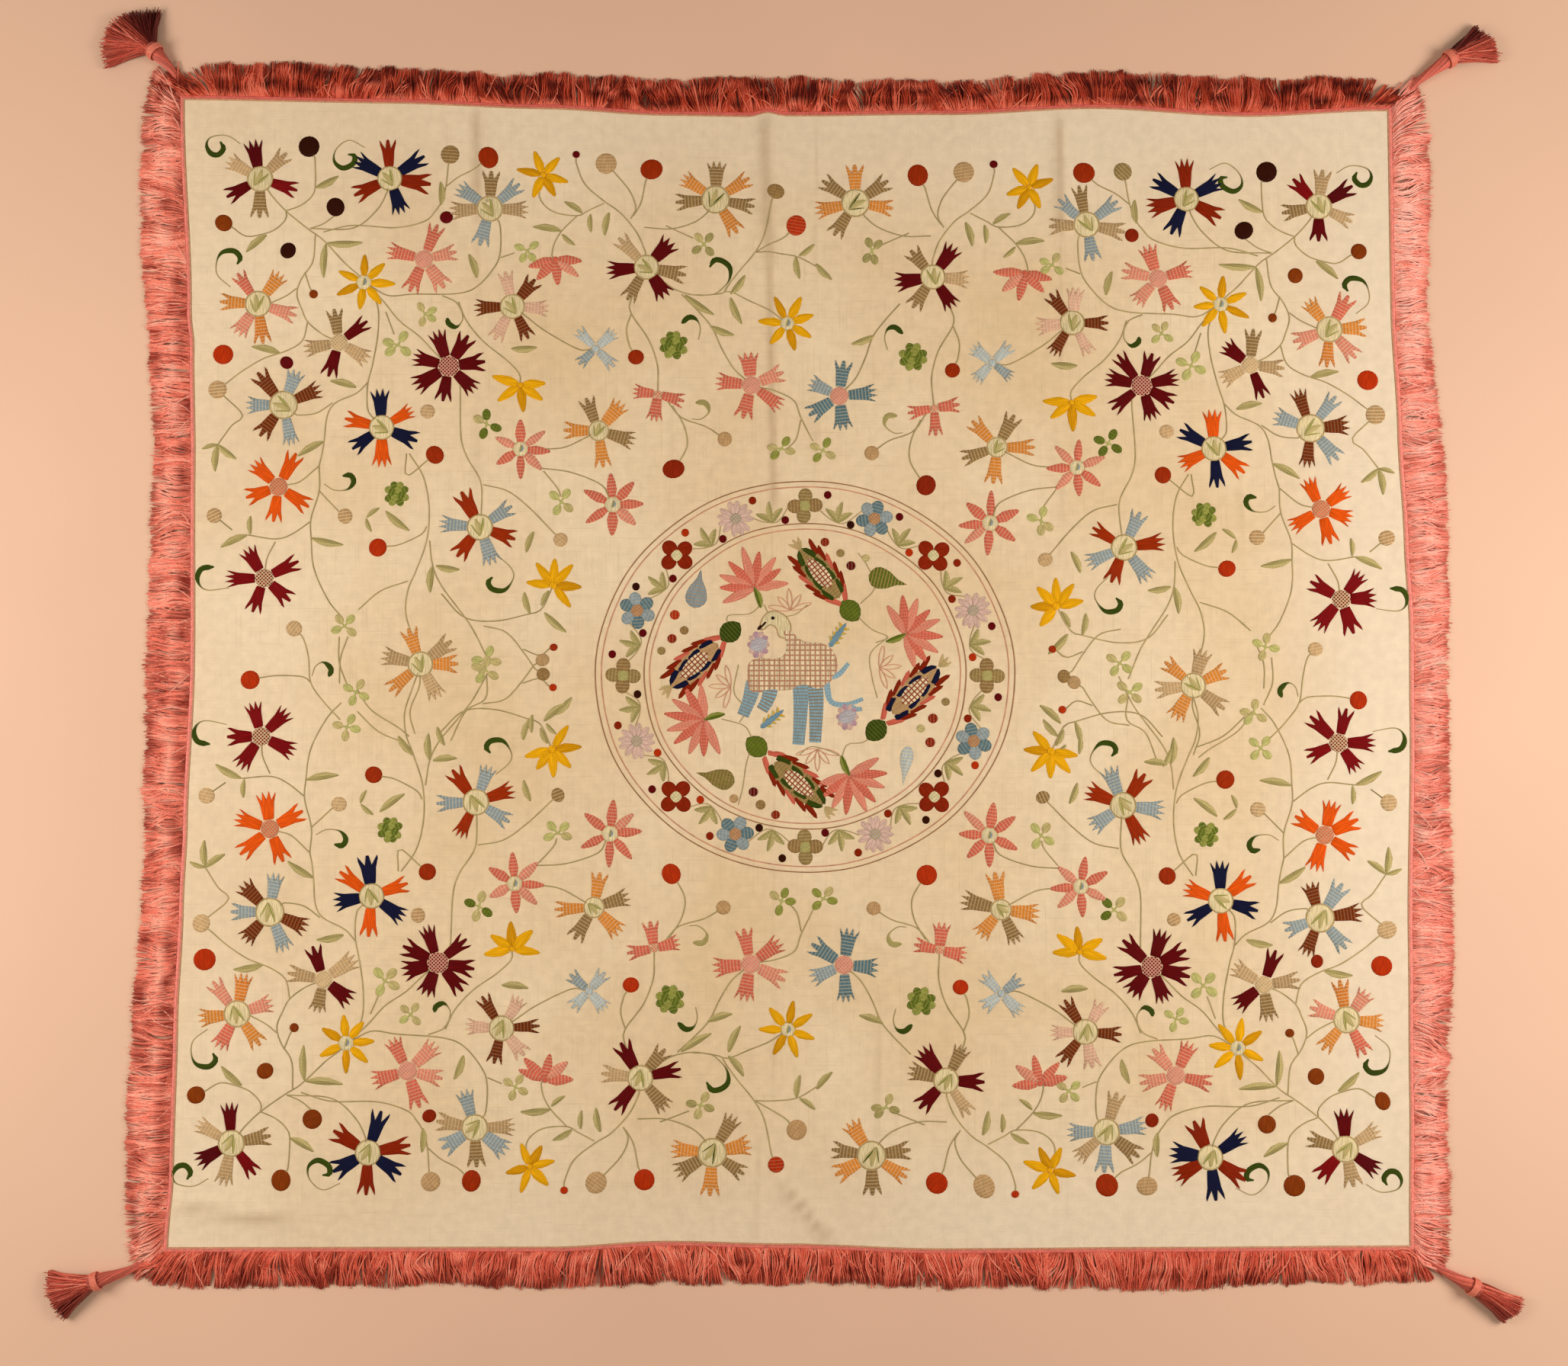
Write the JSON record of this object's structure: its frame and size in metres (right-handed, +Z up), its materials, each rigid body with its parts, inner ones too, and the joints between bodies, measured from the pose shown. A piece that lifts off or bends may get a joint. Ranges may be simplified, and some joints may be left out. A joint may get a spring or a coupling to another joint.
{
  "type": "embroidered linen bedspread with silk fringe and corner tassels",
  "caption": "Flat linen bedspread embroidered with flowers around a round medallion, edged with silk fringe and a tassel at each corner.",
  "frame": {"origin": "on the floor, under the middle of the box round the bedspread with its fringe and tassels", "axes": "+Z up out of the embroidered face, +Y towards the head end, +X to the right seen from above"},
  "size_m": [2.6206, 2.392, 0.032],
  "materials": {
    "linen": "plain woven cream linen, matt",
    "embroidery": "laid and couched silk floss in many colours",
    "fringe": "loose rose red silk floss",
    "tassel": "rose and brick red silk floss",
    "band": "tightly wrapped pink silk"
  },
  "bodies": {
    "root": {"linen_cloth": "linen", "fringe_top": "fringe", "fringe_right": "fringe", "fringe_bottom": "fringe", "fringe_left": "fringe", "tassel_top_left": "tassel", "tassel_top_right": "tassel", "tassel_bottom_right": "tassel", "tassel_bottom_left": "tassel", "tassel_band_top_left": "band", "tassel_band_top_right": "band", "tassel_band_bottom_right": "band", "tassel_band_bottom_left": "band"}
  },
  "joints": []
}
